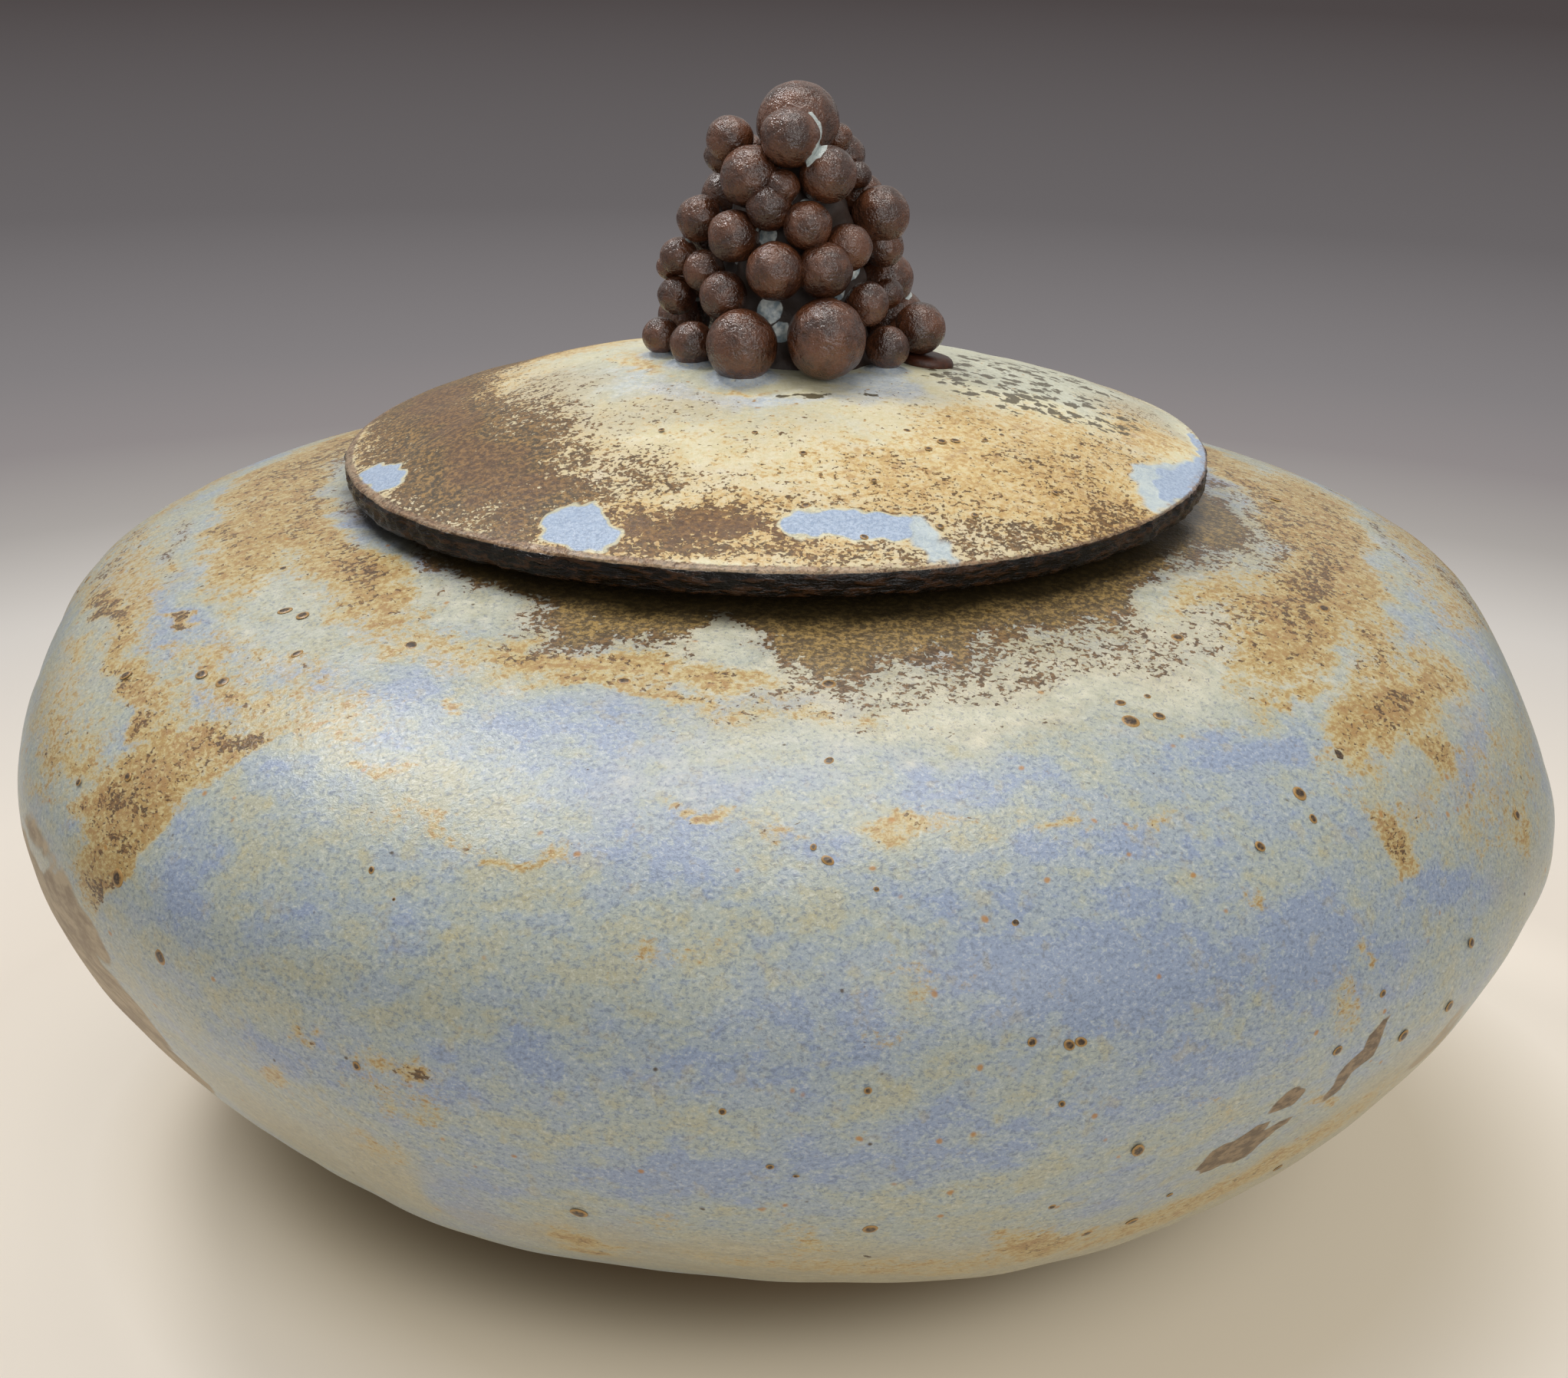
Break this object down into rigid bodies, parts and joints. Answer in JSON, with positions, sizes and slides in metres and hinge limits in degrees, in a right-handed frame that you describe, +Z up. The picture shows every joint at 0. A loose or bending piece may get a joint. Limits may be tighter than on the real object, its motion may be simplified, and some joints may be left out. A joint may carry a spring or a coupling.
{
  "type": "lidded ceramic jar",
  "caption": "Wide, low stoneware jar with a loose domed lid, lifted by a knob built up from clustered clay balls.",
  "frame": {"origin": "on the table under the middle of the jar, level with the underside of the foot ring", "axes": "+Z up through the lid, -Y towards the pictured front, +X to its right"},
  "size_m": [0.243, 0.2498, 0.1735],
  "materials": {
    "body_glaze": "satin pale blue-grey running glaze with ochre breaks and iron specks",
    "lid_glaze": "satin cream to olive-brown speckled glaze with pale blue spots",
    "knob_glaze": "glossy pale blue-white glaze pooled between the balls",
    "bare_clay": "bare dark brown fired clay, dull with a slight sheen",
    "red_clay": "bare dark red-brown fired clay"
  },
  "bodies": {
    "jar": {"jar_body": "body_glaze"},
    "lid": {"lid_dome": "lid_glaze", "lid_flange": "bare_clay", "knob_core": "knob_glaze", "knob_ball_01": "bare_clay", "knob_ball_02": "bare_clay", "knob_ball_03": "bare_clay", "knob_ball_04": "bare_clay", "knob_ball_05": "bare_clay", "knob_ball_06": "bare_clay", "knob_ball_07": "bare_clay", "knob_ball_08": "bare_clay", "knob_ball_09": "bare_clay", "knob_ball_10": "bare_clay", "knob_ball_11": "bare_clay", "knob_ball_12": "bare_clay", "knob_ball_13": "bare_clay", "knob_ball_14": "bare_clay", "knob_ball_15": "bare_clay", "knob_ball_16": "bare_clay", "knob_ball_17": "bare_clay", "knob_ball_18": "bare_clay", "knob_ball_19": "bare_clay", "knob_ball_20": "bare_clay", "knob_ball_21": "bare_clay", "knob_ball_22": "bare_clay", "knob_ball_23": "bare_clay", "knob_ball_24": "bare_clay", "knob_ball_25": "bare_clay", "knob_ball_26": "bare_clay", "knob_ball_27": "bare_clay", "knob_ball_28": "bare_clay", "knob_ball_29": "bare_clay", "knob_ball_30": "bare_clay", "knob_ball_31": "bare_clay", "knob_ball_32": "bare_clay", "knob_ball_33": "bare_clay", "knob_ball_34": "bare_clay", "knob_ball_35": "bare_clay", "knob_ball_36": "bare_clay", "knob_ball_37": "bare_clay", "knob_ball_38": "bare_clay", "knob_ball_39": "bare_clay", "knob_ball_40": "bare_clay", "knob_ball_41": "bare_clay", "knob_ball_42": "bare_clay", "knob_ball_43": "bare_clay", "knob_ball_44": "bare_clay", "knob_ball_45": "bare_clay", "knob_ball_46": "bare_clay", "knob_ball_47": "bare_clay", "knob_ball_48": "bare_clay", "knob_ball_49": "bare_clay", "knob_ball_50": "bare_clay", "knob_ball_51": "bare_clay", "knob_ball_52": "bare_clay", "knob_ball_53": "bare_clay", "knob_ball_54": "bare_clay", "knob_foot_pad": "red_clay"}
  },
  "joints": [
    {"name": "lid_lift", "type": "slide", "parent": "jar", "child": "lid", "axis": [0, 0, 1], "range_m": [0, 0.08]}
  ]
}
